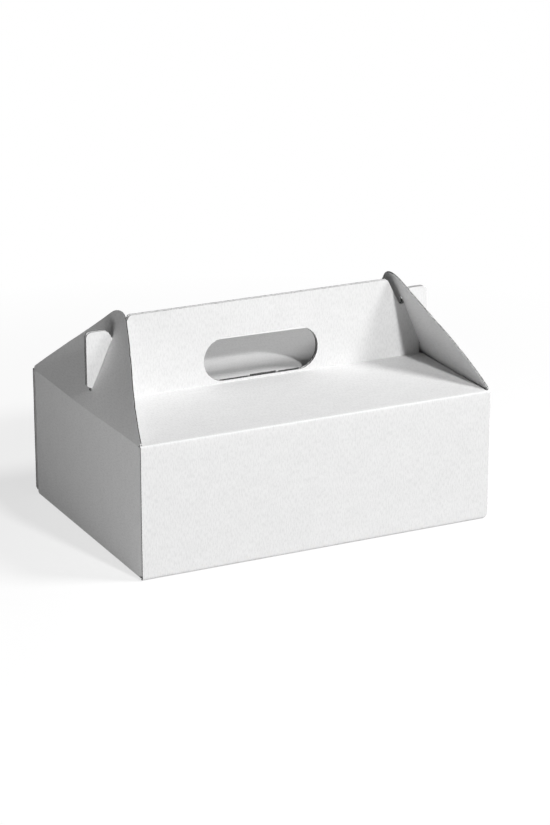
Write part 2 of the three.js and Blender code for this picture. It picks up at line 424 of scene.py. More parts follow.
def build_sheet(sheet, board):
    """Points, faces, papers and flat places of a sheet, and lines where its fluting shows."""
    flat, faces = flat_mesh(sheet, board)
    half, liner = board["thickness"] / 2, board["liner"]
    count = len(flat)
    top = sheet.place(flat, np.full(count, half))
    bottom = sheet.place(flat, np.full(count, -half))
    corner = top[faces]
    normal = np.cross(corner[:, 1] - corner[:, 0], corner[:, 2] - corner[:, 0])
    outward = ((top - bottom)[faces].mean(1) * normal).sum()
    points, places = [top, bottom], [flat, flat]
    upper = faces if outward > 0 else faces[:, ::-1]
    lower = (faces[:, ::-1] if outward > 0 else faces) + count
    all_faces = [tuple(face) for face in upper] + [tuple(face) for face in lower]
    kinds = [OUTER] * len(upper) + [INNER] * len(lower)
    total = 2 * count
    lines = []
    shallowest = 0.02
    for loop in border_loops(faces):
        inward = inward_directions(flat, loop)
        open_by = edge_openness(sheet, flat, loop)
        deep = open_by > SHALLOW
        depth = np.maximum(open_by * board["slot"], shallowest)[:, None]
        inner = flat[loop] + inward * depth
        size = len(loop)
        levels = [
            (flat[loop], half - liner),
            (inner, half - liner),
            (inner, liner - half),
            (flat[loop], liner - half),
        ]
        rings = [loop]
        for at, height in levels:
            points.append(sheet.place(at, np.full(size, height)))
            places.append(at)
            rings.append(np.arange(total, total + size))
            total += size
        rings.append(loop + count)
        for ring, (above, below) in enumerate(zip(rings, rings[1:])):
            outer = ring in (0, len(levels))
            for i in range(size):
                j = (i + 1) % size
                face = (above[i], below[i], below[j], above[j])
                all_faces.append(face if outward > 0 else face[::-1])
                kinds.append(EDGE if outer or not deep[i] else FLUTING)
        lines += flute_lines(sheet, flat[loop], inward, deep, board)
    # Frayed paper lies a little above the board's middle, at this phase of the flutes' wave.
    fray_points, fray_phase = 40, 0.19
    for start, end, out in sheet.frayed:
        share = np.linspace(0, 1, fray_points)[:, None]
        at = np.array(start) * (1 - share) + np.array(end) * share
        lines.append(flute_line(sheet, at, np.array(out), np.full(fray_points, fray_phase)))
    return np.concatenate(points), all_faces, kinds, np.concatenate(places), lines


def flute_line(sheet, at, inward, phase):
    """A line of the board's middle, with its directions across and into the board."""
    middle = sheet.place(at, np.zeros(len(at)))
    across = sheet.place(at, np.ones(len(at))) - middle
    into = sheet.place(at + inward, np.zeros(len(at))) - middle
    return middle, across, into, phase


def flute_lines(sheet, flat, inward, deep, board):
    """Lines along the open stretches of a cut edge, for the fluting that shows there."""
    count = len(flat)
    if deep.all():
        runs = [np.append(np.arange(count), 0)]
    else:
        begin = int(np.flatnonzero(~deep)[0])
        order = (np.arange(count) + begin) % count
        runs, run = [], []
        for index in order:
            if deep[index]:
                run.append(index)
            elif run:
                runs.append(run)
                run = []
        if run:
            runs.append(run)
    phase = flat[:, sheet.flutes] / board["pitch"]
    return [
        flute_line(sheet, flat[run], inward[run], phase[run]) for run in runs if len(run) > 1
    ]


def add_object(name, data):
    """An object of a mesh, lamp or camera, in the scene."""
    made = bpy.data.objects.new(name, data)
    bpy.context.scene.collection.objects.link(made)
    return made


def board_object(name, sheets, board, materials):
    """One mesh from several sheets, with a UV map that holds each point's place in the flat."""
    points, faces, kinds, places, lines = [], [], [], [], []
    total = 0
    for sheet in sheets:
        sheet_points, sheet_faces, sheet_kinds, flat, sheet_lines = build_sheet(sheet, board)
        points.append(sheet_points)
        faces += [tuple(int(i) + total for i in face) for face in sheet_faces]
        kinds += sheet_kinds
        places.append(flat if sheet.flutes else flat[:, ::-1])
        lines += sheet_lines
        total += len(sheet_points)
    points = np.concatenate(points) * MM
    mesh = bpy.data.meshes.new(name)
    mesh.from_pydata(points.tolist(), [], faces)
    for material in materials:
        mesh.materials.append(material)
    mesh.polygons.foreach_set("material_index", kinds)
    mesh.polygons.foreach_set("use_smooth", [True] * len(faces))
    layer = mesh.uv_layers.new(name="Flat")
    corners = np.zeros(len(mesh.loops), int)
    mesh.loops.foreach_get("vertex_index", corners)
    flat = np.concatenate(places)[corners] * MM
    layer.data.foreach_set("uv", flat.astype(np.float32).ravel())
    sharp = 38
    mesh.set_sharp_from_angle(angle=math.radians(sharp))
    mesh.update()
    return add_object(name, mesh), lines


def in_mm(group, *names):
    """Settings of a group, in millimetres."""
    return {name: 1000 * getattr(group, name) for name in names}


def board_sizes(scene):
    board = scene.tray_box_board
    sizes = in_mm(
        board, "thickness", "liner", "pitch", "fold", "corner", "slot", "bite", "mesh", "warp"
    )
    sizes["seed"] = board.seed
    return sizes


def shape_sizes(scene):
    sizes = in_mm(
        scene.tray_box_shape,
        "length", "depth", "wall", "shoulder", "bow", "crease", "handle", "shift", "gap", "flap",
        "wing",
    )
    sizes["end"] = sizes["length"] / 2
    sizes["side"] = sizes["depth"] / 2
    sizes["top"] = sizes["wall"] + sizes["shoulder"]
    sizes["hinge"] = sizes["end"] + sizes["bow"]
    sizes["crease"] = sizes["wall"] - sizes["crease"]
    return sizes


def end_bow(size, y, z):
    """How far an end wall bows out at this place."""
    # The bow dies out at a share of the way to the crease's ends, which are inside the walls.
    share, inset = 0.875, 4.5
    reach = share * (size["side"] - inset)
    across = size["bow"] * (1 - np.minimum(1, np.abs(y) / reach) ** 2) ** 2
    return across * np.maximum(0, (z - BASE_FOLD) / (size["crease"] - BASE_FOLD)) ** 2


def handle_end(size, end):
    """Corners of one end of the handle, from its foot to its top edge, as (x, height, radius)."""
    # The hook cut in under the tab, the tab, the neck inside it, and the slope up to the top edge.
    tab_inset, tab, tab_top = 0.5, 27.8, 74.5
    hook, hook_low, hook_high = 8, 14, 18
    neck, neck_height, slope = 5.2, 58, 20
    foot = size["top"]
    outer = size["end"] - tab_inset
    inner = outer - tab
    corners = [
        (outer - hook, foot, 0),
        (outer - hook, foot + hook_low, 1),
        (outer, foot + hook_high, 1.5),
        (outer, foot + tab_top, 6),
        (inner, foot + tab_top, 10),
        (inner, foot + neck_height, 2.5),
        (inner - neck, foot + neck_height, 2.5),
        (inner - slope, size["handle"], 4),
    ]
    return [(size["shift"] + end * x, z, radius) for x, z, radius in corners]


def wrap_sheet(size, board):
    """Base, long walls, top panels and handle plies: one run of board round the X axis."""
    half = board["thickness"] / 2
    ply = size["gap"] / 2 + half
    front = [
        (-ply, size["handle"]),
        (-ply, size["top"] - half),
        (half - size["side"], size["wall"] - half),
        (half - size["side"], half),
    ]
    corners = front + [(-y, z) for y, z in reversed(front)]
    path = FoldedPath(corners, board["fold"])
    whole = path.distance[-1]
    top_panel = size["side"] - half - ply
    foot = size["handle"] - size["top"]
    shelf = foot + half + top_panel
    wall_end = shelf + size["wall"] - 2 * half

    # Panels dip in slow waves, given by their lengths and starts, that fade out near a fold. The
    # long crease at the back stands up a little in its middle.
    skew_x, skew_along, long_wave, long_start, wide_wave, wide_start = 61, 37, 83, 0.7, 140, 0.4
    fade, crown, crown_half = 30, 1.9, 28

    def place(flat, height):
        x, along = flat[:, 0], flat[:, 1]
        y, z, out_y, out_z = path.place(along)
        skew = np.sin(x / skew_x + along / skew_along)
        ripple = skew * np.sin(along / long_wave + long_start) * np.sin(x / wide_wave + wide_start)
        edge = np.minimum.reduce([np.abs(along - fold) for fold in path.folds]) / fade
        dip = board["warp"] * np.abs(ripple) * np.minimum(1, edge) ** 2
        standing = (along < foot) | (along > whole - foot)
        dip = np.where(standing, 0, dip)
        y = y + out_y * (height - dip)
        z = z + out_z * (height - dip)
        behind = np.exp(-(((along - whole + shelf) / crown_half) ** 2))
        z = z + crown * behind * np.maximum(0, 1 - (x / size["end"]) ** 2) ** 2
        return np.stack([x, y, z], axis=1)

    # Corner radii at the feet of the long walls. A corner sharper than this reaches under the box.
    sharp = 2.5
    foot_corner = {"front": {-1: 1.2, 1: 7}, "back": {-1: 8, 1: 7}}
    # Insets from the ends of the long walls, and distances before or past the nearest fold.
    panel_inset, panel_low = 3, 0.2
    step_from, step_to = 2.6, 2.4
    sharp_reach, round_reach, round_inset = 1.7, 0.4, 0.2
    base_inset, base_from, base_to = 2.5, 4.5, 5

    def half_outline(end, side):
        """Border of one end from a handle top edge to the middle of the base."""
        ends = handle_end(size, end)
        points = [(x, size["handle"] - z, r) for x, z, r in reversed(ends)]
        radius = foot_corner[side][end]
        panel, wall = end * (size["end"] - panel_inset), end * size["end"]
        points += [
            (panel, foot + panel_low, 0.5), (panel, shelf - step_from, 0),
            (wall, shelf - step_to, 0.4),
        ]
        if radius < sharp:
            points += [(wall, wall_end + sharp_reach, radius)]
        else:
            past_round = end * (size["end"] - radius - round_inset)
            points += [
                (wall, wall_end - round_reach, radius),
                (past_round, wall_end - round_reach, 0),
                (past_round, wall_end + base_from, 0),
            ]
        return points + [(end * (size["end"] - base_inset), wall_end + base_to, 0)]

    right_front = half_outline(1, "front")
    left_front = half_outline(-1, "front")
    right_back = [(x, whole - s, r) for x, s, r in half_outline(1, "back")]
    left_back = [(x, whole - s, r) for x, s, r in half_outline(-1, "back")]
    outline = rounded(right_front + right_back[::-1] + left_back + left_front[::-1])
    holes = []
    # The hand hole in the back ply sits a little lower.
    hand_half, hand_high, hand_round = 65.5, 46, 22.5
    hand_low, hand_low_behind = foot - 2.5, foot - 2.2
    for behind, low in ((False, hand_low), (True, hand_low_behind)):
        corners = [(-1, low), (1, low), (1, low - hand_high), (-1, low - hand_high)]
        points = [(size["shift"] + side * hand_half, v, hand_round) for side, v in corners]
        if behind:
            points = [(x, whole - v, r) for x, v, r in points]
        holes.append(rounded(points))
    # The crease at the foot of each ply is a row of short cuts.
    cut_at, cut_apart, cut_long, cut_wide = foot - 0.4, 11.0, 5.0, 0.3
    first_cut, past_cuts = -158.0, 160.0
    for x in np.arange(first_cut, past_cuts, cut_apart):
        for along in (cut_at, whole - cut_at):
            far, over = x + cut_long, along + cut_wide
            holes.append(np.array([(x, along), (far, along), (far, over), (x, over)]))
    sheet_middle = whole / 2

    # The base is joined to the end walls, the short cuts are pressed shut, and so, nearly, is the
    # handle's top edge.
    joined, cut_half, past_row = size["side"] - 6, 1, size["end"] - 20
    top_edge, top_open = 0.6, 0.15

    def openness(flat):
        from_middle = np.abs(flat[:, 1] - sheet_middle)
        at_row = np.abs(from_middle - (sheet_middle - cut_at)) < cut_half
        short_cut = at_row & (np.abs(flat[:, 0]) < past_row)
        result = np.where((from_middle < joined) | short_cut, 0.0, 1.0)
        return np.where(from_middle > sheet_middle - top_edge, top_open, result)

    # Where the front ply is torn under the hand hole, and how far its fluting stands up there.
    torn = ((-48, -16, 0.8), (-13, 17, 1.2), (20, 44, 0.9))
    torn_at = hand_low + 0.3
    frayed = [
        ((size["shift"] + start, torn_at), (size["shift"] + end, torn_at), (0, -height))
        for start, end, height in torn
    ]
    return Sheet([outline, *holes], place, 1, openness, rows=path.folds, frayed=frayed)


def tab_fold(size, board):
    """How far the folds of an end wall's glue tabs are from the wall's middle."""
    return size["side"] - 1.5 * board["thickness"] - TAB_GAP - SPRING


def end_reach(size, board):
    """Half the width of the flat of an end wall, between the rounds of its tab folds."""
    return tab_fold(size, board) - board["corner"] - 0.4


def end_sheet(size, board, end):
    """An end wall with its two glue tabs, which turn in behind the long walls."""
    tab_long, foot_radius = 45, 1.7
    wall_x = size["end"] - board["thickness"] / 2
    inner = wall_x - tab_long
    fold_y = tab_fold(size, board)
    tab_y = fold_y + SPRING
    corners = [(inner, -tab_y), (wall_x, -fold_y), (wall_x, fold_y), (inner, tab_y)]
    path = FoldedPath(corners, board["corner"])
    middle = path.distance[-1] / 2

    def place(flat, height):
        along, v = flat[:, 0] + middle, flat[:, 1]
        x, y, out_x, out_y = path.place(along)
        angle = np.clip((BASE_FOLD - v) / foot_radius, 0, math.pi / 2)
        rolled = v < BASE_FOLD
        z = np.where(rolled, BASE_FOLD - foot_radius * np.sin(angle), v)
        inset = np.where(rolled, foot_radius * (1 - np.cos(angle)), 0)
        x = x + end_bow(size, y, v) - inset * out_x
        y = y - inset * out_y
        side = np.cos(angle) * height
        x, y, z = x + out_x * side, y + out_y * side, z - np.sin(angle) * height
        return np.stack([end * x, end * y, z], axis=1)

    under = foot_radius * math.pi / 2
    bottom, crease_low = BASE_FOLD - under, size["crease"] - CREASE_HALF
    reach = end_reach(size, board)
    fold_end = fold_y + board["corner"] * (math.pi / 2 - 1)
    tab_top, tab_foot = size["crease"] - 0.7, 2.6
    slope_foot, slope_top, tab_round = 9, tab_top - 5, 3
    right = [
        (reach, bottom, 0), (reach, tab_foot, 0), (fold_end, tab_foot, 0),
        (middle, slope_foot, tab_round), (middle, slope_top, tab_round),
        (fold_end, tab_top, 0), (reach, tab_top, 0), (reach, crease_low, 0),
    ]
    left = [(-y, v, radius) for y, v, radius in reversed(right)]
    outline = rounded([left[-1], *right, *left[:-1]])

    # Only the tabs have open edges, above the fold of the base.
    past_fold, open_from = reach + 0.4, 4.5

    def openness(flat):
        return ((np.abs(flat[:, 0]) > past_fold) & (flat[:, 1] > open_from)).astype(float)

    rows = [BASE_FOLD - under * step / 4 for step in range(4)]
    columns = [fold - middle for fold in path.folds]
    return Sheet([outline], place, 0, openness, rows=rows, columns=columns)


def flap_curve(size, leans, v):
    """Outer face of a bent flap above its crease: run in from the hinge, height and lean."""
    foot, peak = leans
    bend = (peak - foot) / size["flap"]
    lean = foot + bend * v
    run = (np.cos(foot) - np.cos(lean)) / bend
    rise = (np.sin(lean) - np.sin(foot)) / bend
    return run, rise, lean


def flap_place(size, board, end, leans):
    """Folding of a gable flap and of its crease, for v measured up from the crease."""
    half = board["thickness"] / 2
    # The flap's sides stay out by the wing setting at this distance from its middle, and by less
    # below this height. The board is crushed by this share at the crease, over this half width.
    wing_at, wing_from = 75, 50
    crush, crush_half = 0.35, 0.7

    def place(flat, height):
        y, v = flat[:, 0], flat[:, 1]
        run, rise, lean = flap_curve(size, leans, np.maximum(v, 0))
        # The board turns from upright to its lean within 1 mm to each side of the crease.
        on_flap = np.clip((v + 1) / 2, 0, 1)
        on_flap = on_flap * on_flap * (3 - 2 * on_flap)
        below = np.minimum(v, 0)
        z = size["crease"] + rise + below
        bow = end_bow(size, y, np.minimum(z, size["crease"]))
        lean = lean * on_flap
        x = size["end"] + bow - run
        x = x + size["wing"] * (y / wing_at) ** 2 * np.clip(v / wing_from, 0, 1)
        crushed = 1 - crush * np.exp(-((v / crush_half) ** 2))
        depth = (half - height) * crushed
        x = x - np.cos(lean) * depth
        z = z - np.sin(lean) * depth
        return np.stack([end * x, end * y, z], axis=1)

    return place


def flap_sheet(size, board, end, leans):
    """A gable flap with the slit that hooks over the tab of the handle."""
    half_base, shoulder, peak_radius = size["side"] - FLAP_INSET, 4.4, 30
    # The two flaps were not cut quite alike: the peaks, slits and front edges differ.
    peak = 105.6 if end > 0 else 104.8
    centre = peak - peak_radius
    rise = centre - shoulder
    angle = math.acos(peak_radius / math.hypot(half_base, rise)) - math.atan2(rise, half_base)
    apex = centre + peak_radius / math.sin(angle)
    outline = rounded(
        [
            (-half_base, CREASE_HALF, 0), (half_base, CREASE_HALF, 0),
            (half_base, shoulder, 1.2), (0, apex, peak_radius), (-half_base, shoulder, 1.2),
        ]
    )
    slit_half, slit_round = 2.95, 1.6
    low, high = (16.2, 75.5) if end > 0 else (18.0, 76.4)
    corners = [(-slit_half, low), (slit_half, low), (slit_half, high), (-slit_half, high)]
    slit = rounded([(y, v, slit_round) for y, v in corners])

    # The front edge of the right flap was pressed nearly shut.
    front_open, front_edge = 0.2 if end > 0 else 1.0, -slit_half - 1
    open_from = CREASE_HALF + 0.4

    def openness(flat):
        open_by = np.where(flat[:, 0] < front_edge, front_open, 1.0)
        return open_by * (flat[:, 1] > open_from)

    place = flap_place(size, board, end, leans)
    nicks = [(-61, 0.9), (-66, 0.7), (-96, 0.8), (52, 0.7), (103, 0.6)]
    return Sheet([outline, slit], place, 0, openness, nicks=nicks if end > 0 else nicks[3:])


def crease_sheet(size, board, end, leans):
    """The strip of crushed board along the crease between an end wall and its flap."""
    below, above = end_reach(size, board), size["side"] - FLAP_INSET
    corners = [(-below, -1), (below, -1), (above, 1), (-above, 1)]
    outline = np.array([(y, side * CREASE_HALF) for y, side in corners])
    # Rows of points 0.4 mm apart let the strip bend smoothly.
    rows = [-1.2, -0.8, -0.4, 0, 0.4, 0.8, 1.2]
    place = flap_place(size, board, end, leans)
    return Sheet([outline], place, 0, lambda flat: np.zeros(len(flat)), rows=rows)


def fill(tree, node, inputs):
    """Fills inputs of a node with values, or links them to sockets or to other nodes."""
    for name, value in inputs.items():
        if isinstance(value, bpy.types.Node):
            value = next(socket for socket in value.outputs if socket.enabled)
        if isinstance(value, bpy.types.NodeSocket):
            tree.links.new(value, node.inputs[name])
        else:
            node.inputs[name].default_value = value


def add_node(tree, kind, inputs=None, **settings):
    """Adds a node with its settings, values and links."""
    made = tree.nodes.new(kind)
    for name, value in settings.items():
        setattr(made, name, value)
    fill(tree, made, inputs or {})
    return made


def grains(millimetres):
    """Scale of a noise whose grains are about this size."""
    return 1000.0 / millimetres


def fluting_tree():
    """Turns lines along the cut edges into strips of wavy paper that reach in between liners."""
    tree = bpy.data.node_groups.new("Fluting at cut edges", "GeometryNodeTree")
    face = tree.interface
    face.new_socket("Geometry", in_out="INPUT", socket_type="NodeSocketGeometry")
    for name in ("Spacing", "Wave height", "Depth", "Paper"):
        made = face.new_socket(name, in_out="INPUT", socket_type="NodeSocketFloat")
        made.subtype = "DISTANCE"
    face.new_socket("Seed", in_out="INPUT", socket_type="NodeSocketInt")
    face.new_socket("Material", in_out="INPUT", socket_type="NodeSocketMaterial")
    face.new_socket("Geometry", in_out="OUTPUT", socket_type="NodeSocketGeometry")
    given = add_node(tree, "NodeGroupInput").outputs
    across, into, phase = [
        add_node(tree, "GeometryNodeInputNamedAttribute", {"Name": name}, data_type=kind)
        for name, kind in LINE_ATTRIBUTES.items()
    ]
    curve = add_node(tree, "GeometryNodeMeshToCurve", {"Mesh": given["Geometry"]})
    even = add_node(
        tree, "GeometryNodeResampleCurve", {"Curve": curve, "Length": given["Spacing"]},
        mode="LENGTH",
    )
    line = add_node(tree, "GeometryNodeCurveToMesh", {"Curve": even})
    turn = add_node(tree, "ShaderNodeMath", {0: phase, 1: math.tau}, operation="MULTIPLY")
    wave = add_node(tree, "ShaderNodeMath", {0: turn}, operation="COSINE")
    # From one place to the next, the waves are crushed a little and the paper is torn back.
    noise = add_node(
        tree, "ShaderNodeTexNoise", {"W": given["Seed"], "Scale": grains(6.25), "Detail": 1.0},
        noise_dimensions="4D",
    )
    uneven = {"Value": noise, "From Min": 0.3, "From Max": 0.7}
    crush = add_node(tree, "ShaderNodeMapRange", {**uneven, "To Min": 0.65, "To Max": 1.0})
    torn = add_node(
        tree, "ShaderNodeMapRange", {**uneven, "To Min": 0.05 * MM, "To Max": 0.35 * MM}
    )
    height = add_node(tree, "ShaderNodeMath", {0: wave, 1: crush}, operation="MULTIPLY")
    scaled = add_node(
        tree, "ShaderNodeMath", {0: height, 1: given["Wave height"]}, operation="MULTIPLY"
    )
    lift = add_node(tree, "ShaderNodeVectorMath", {0: across, "Scale": scaled}, operation="SCALE")
    back = add_node(tree, "ShaderNodeVectorMath", {0: into, "Scale": torn}, operation="SCALE")
    offset = add_node(tree, "ShaderNodeVectorMath", {0: lift, 1: back}, operation="ADD")
    waved = add_node(tree, "GeometryNodeSetPosition", {"Geometry": line, "Offset": offset})
    reach = add_node(
        tree, "ShaderNodeVectorMath", {0: into, "Scale": given["Depth"]}, operation="SCALE"
    )
    strip = add_node(
        tree, "GeometryNodeExtrudeMesh", {"Mesh": waved, "Offset": reach, "Offset Scale": 1.0},
        mode="EDGES",
    )
    raised = add_node(
        tree, "ShaderNodeVectorMath", {0: across, "Scale": given["Paper"]}, operation="SCALE"
    )
    thick = add_node(
        tree, "GeometryNodeExtrudeMesh",
        {"Mesh": strip, "Offset": raised, "Offset Scale": 1.0, "Individual": False},
        mode="FACES",
    )
    under = add_node(tree, "GeometryNodeFlipFaces", {"Mesh": strip})
    joined = add_node(tree, "GeometryNodeJoinGeometry", {0: under})
    fill(tree, joined, {0: thick})
    closed = add_node(
        tree, "GeometryNodeMergeByDistance", {"Geometry": joined, "Distance": 0.002 * MM}
    )
    real = add_node(tree, "GeometryNodeRealizeInstances", {"Geometry": closed})
    finished = add_node(
        tree, "GeometryNodeSetMaterial", {"Geometry": real, "Material": given["Material"]}
    )
    add_node(tree, "NodeGroupOutput", {"Geometry": finished})
    return tree


def socket_identifier(tree, name):
    for item in tree.interface.items_tree:
        if item.item_type == "SOCKET" and item.in_out == "INPUT" and item.name == name:
            return item.identifier
    raise ValueError(f"the node tree has no input named {name}")


def plain_copy(source, name):
    """A plain mesh object from an object with modifiers, which is then removed."""
    graph = bpy.context.evaluated_depsgraph_get()
    mesh = bpy.data.meshes.new_from_object(source.evaluated_get(graph))
    mesh.name = name
    if not len(mesh.polygons):
        raise RuntimeError(f"{name} came out empty")
    old = source.data
    bpy.data.objects.remove(source)
    bpy.data.meshes.remove(old)
    return add_object(name, mesh)


def fluting_object(name, lines, board, seed, material):
    """The wavy paper that shows along all open cut edges of one body."""
    points = np.concatenate([line[0] for line in lines]) * MM
    edges, start = [], 0
    for line in lines:
        count = len(line[0])
        edges += [(start + i, start + i + 1) for i in range(count - 1)]
        start += count
    mesh = bpy.data.meshes.new(name + "_lines")
    mesh.from_pydata(points.tolist(), edges, [])
    for column, (label, kind) in enumerate(LINE_ATTRIBUTES.items(), start=1):
        made = mesh.attributes.new(label, kind, "POINT")
        values = np.concatenate([line[column] for line in lines]).astype(np.float32)
        made.data.foreach_set("value" if kind == "FLOAT" else "vector", values.ravel())
    source = add_object(name + "_lines", mesh)
    tree = bpy.data.node_groups.get("Fluting at cut edges") or fluting_tree()
    modifier = source.modifiers.new("Fluting", "NODES")
    modifier.node_group = tree
    paper, spacing, clear_of_end = 0.16, 0.42, 0.4
    wave = board["thickness"] / 2 - board["liner"] - paper
    inputs = {
        "Spacing": spacing * MM,
        "Wave height": wave * MM,
        "Depth": (board["slot"] - clear_of_end) * MM,
        "Paper": paper * MM,
        "Seed": seed,
        "Material": material,
    }
    for label, value in inputs.items():
        modifier[socket_identifier(tree, label)] = value
    return plain_copy(source, name)


def new_material(name, roughness):
    """A material of uncoated paper, whose fibres have the refractive index of cellulose."""
    cellulose = 1.47
    material = bpy.data.materials.new(name)
    material.use_nodes = True
    tree = material.node_tree
    shader = next(node for node in tree.nodes if node.type == "BSDF_PRINCIPLED")
    fill(tree, shader, {"Roughness": roughness, "IOR": cellulose})
    return material, tree, shader


def liner_paper(name, paper, pitch):
    """White-top paper, machine made and uncoated: matt, a little cloudy, with short fibres."""
    material, tree, shader = new_material(name, 0.88)
    place = add_node(tree, "ShaderNodeTexCoord").outputs["Object"]
    flat = add_node(tree, "ShaderNodeUVMap", uv_map="Flat")
    # Clouds of 16 mm are how the pulp settled. Fibres lie across the flutes, in streaks of
    # 1.3 by 5 mm, drawn coarser than real ones so that they show.
    along = add_node(tree, "ShaderNodeMapping", {"Vector": flat, "Scale": (1.0, 0.26, 1.0)})
    clouds = add_node(
        tree, "ShaderNodeTexNoise",
        {"Vector": place, "Scale": grains(16), "Detail": 2.0, "Roughness": 0.55},
    )
    cloud = add_node(
        tree, "ShaderNodeMapRange", {"Value": clouds, "From Min": 0.35, "From Max": 0.65}
    )
    streaks = add_node(
        tree, "ShaderNodeTexNoise",
        {"Vector": along, "Scale": grains(1.3), "Detail": 3.0, "Roughness": 0.7},
    )
    streak = add_node(
        tree, "ShaderNodeMapRange", {"Value": streaks, "From Min": 0.45, "From Max": 0.62}
    )
    both = add_node(tree, "ShaderNodeMath", {0: cloud, 1: 0.12}, operation="MULTIPLY")
    amount = add_node(
        tree, "ShaderNodeMath", {0: streak, 1: 0.5, 2: both}, operation="MULTIPLY_ADD"
    )
    colour = add_node(
        tree, "ShaderNodeMix",
        {"Factor": amount, "A": tuple(paper.liner), "B": tuple(paper.liner_grain)},
        data_type="RGBA",
    )
    # The flutes telegraph through the liner as a faint washboard, one ridge for each flute.
    apart = add_node(tree, "ShaderNodeSeparateXYZ", {"Vector": flat}).outputs["Y"]
    turn = add_node(
        tree, "ShaderNodeMath", {0: apart, 1: math.tau / pitch}, operation="MULTIPLY"
    )
    ridge = add_node(tree, "ShaderNodeMath", {0: turn}, operation="SINE")
    washboard = add_node(
        tree, "ShaderNodeBump", {"Height": ridge, "Strength": 0.5, "Distance": 0.02 * MM}
    )
    fibre = add_node(
        tree, "ShaderNodeTexNoise",
        {"Vector": place, "Scale": grains(0.9), "Detail": 3.0, "Roughness": 0.65},
    )
    bump = add_node(
        tree, "ShaderNodeBump",
        {"Height": fibre, "Strength": 0.35, "Distance": 0.05 * MM, "Normal": washboard},
    )
    fill(tree, shader, {"Base Color": colour, "Normal": bump})
    return material


def edge_paper(name, first, second, grain, roughness):
    """Torn or die-cut paper edge: fibrous, rougher than the face of the sheet."""
    material, tree, shader = new_material(name, roughness)
    place = add_node(tree, "ShaderNodeTexCoord").outputs["Object"]
    # Fibres of half a millimetre, drawn coarser than real ones, stand in the torn paper.
    tufts, fibre = [
        add_node(
            tree, "ShaderNodeTexNoise",
            {"Vector": place, "Scale": grains(across), "Detail": 3.0, "Roughness": 0.7},
        )
        for across in (grain, 0.5)
    ]
    amount = add_node(
        tree, "ShaderNodeMapRange", {"Value": tufts, "From Min": 0.4, "From Max": 0.62}
    )
    colour = add_node(
        tree, "ShaderNodeMix", {"Factor": amount, "A": first, "B": second}, data_type="RGBA"
    )
    bump = add_node(
        tree, "ShaderNodeBump", {"Height": fibre, "Strength": 0.6, "Distance": 0.08 * MM}
    )
    fill(tree, shader, {"Base Color": colour, "Normal": bump})
    return material


def board_materials(scene):
    """Papers of the board: outer liner, inner liner, cut liner edge, fluting."""
    paper = scene.tray_box_paper
    pitch = scene.tray_box_board.pitch
    names = ["White-top liner, uncoated", "Inner liner, uncoated", "Die-cut liner edge",
             "Recycled fluting medium with painted shade"]
    found = [bpy.data.materials.get(name) for name in names]
    if all(found):
        return found
    edge, fluting = tuple(paper.edge), tuple(paper.fluting)
    return [
        liner_paper(names[OUTER], paper, pitch),
        liner_paper(names[INNER], paper, pitch),
        # The fluting's tones are partly painted shade of the gaps between the liners; they colour
        # the fluting and the dark tufts in the liner's cut edge.
        edge_paper(names[EDGE], edge, fluting, 1.2, 0.92),
        edge_paper(names[FLUTING], fluting, tuple(paper.fluting_grain_and_shade), 0.8, 0.95),
    ]


def flap_leans(scene, end):
    shape = scene.tray_box_shape
    if end < 0:
        return shape.left_foot, shape.left_peak
    return shape.right_foot, shape.right_peak


class TRAYBOX_OT_carton(bpy.types.Operator):
    """Fold the base, walls, top panels, handle and glue tabs from one sheet of board"""

    bl_idname = "tray_box.carton"
    bl_label = "Fold the carton"

    def execute(self, context):
        scene = context.scene
        size, board = shape_sizes(scene), board_sizes(scene)
        materials = board_materials(scene)
        sheets = [wrap_sheet(size, board)] + [end_sheet(size, board, end) for end in (1, -1)]
        made, lines = board_object("carton_board", sheets, board, materials)
        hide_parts("carton")
        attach(made, "carton")
        seed = scene.tray_box_board.seed
        fluting = fluting_object("carton_fluting", lines, board, seed, materials[FLUTING])
        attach(fluting, "carton")
        return {"FINISHED"}


class TRAYBOX_OT_flaps(bpy.types.Operator):
    """Cut the two gable flaps and lean them in over the ends of the handle"""

    bl_idname = "tray_box.flaps"
    bl_label = "Cut the gable flaps"

    def execute(self, context):
        scene = context.scene
        size, board = shape_sizes(scene), board_sizes(scene)
        materials = board_materials(scene)
        for end, side in ((-1, "left"), (1, "right")):
            sheet = flap_sheet(size, board, end, flap_leans(scene, end))
            made, lines = board_object(f"{side}_flap_board", [sheet], board, materials)
            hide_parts(f"{side}_gable_flap")
            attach(made, f"{side}_flap")
            # Each body's fluting is torn in its own way.
            seed = scene.tray_box_board.seed + 2 + end
            paper = materials[FLUTING]
            fluting = fluting_object(f"{side}_flap_fluting", lines, board, seed, paper)
            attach(fluting, f"{side}_flap")
        return {"FINISHED"}


class TRAYBOX_OT_creases(bpy.types.Operator):
    """Join each flap to its end wall by a strip of creased board, bent to the flap's lean"""

    bl_idname = "tray_box.creases"
    bl_label = "Crease the flaps"

    def execute(self, context):
        scene = context.scene
        size, board = shape_sizes(scene), board_sizes(scene)
        materials = board_materials(scene)
        for end, side in ((-1, "left"), (1, "right")):
            sheet = crease_sheet(size, board, end, flap_leans(scene, end))
            made, _ = board_object(f"{side}_flap_crease", [sheet], board, materials)
            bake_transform(made)
        return {"FINISHED"}


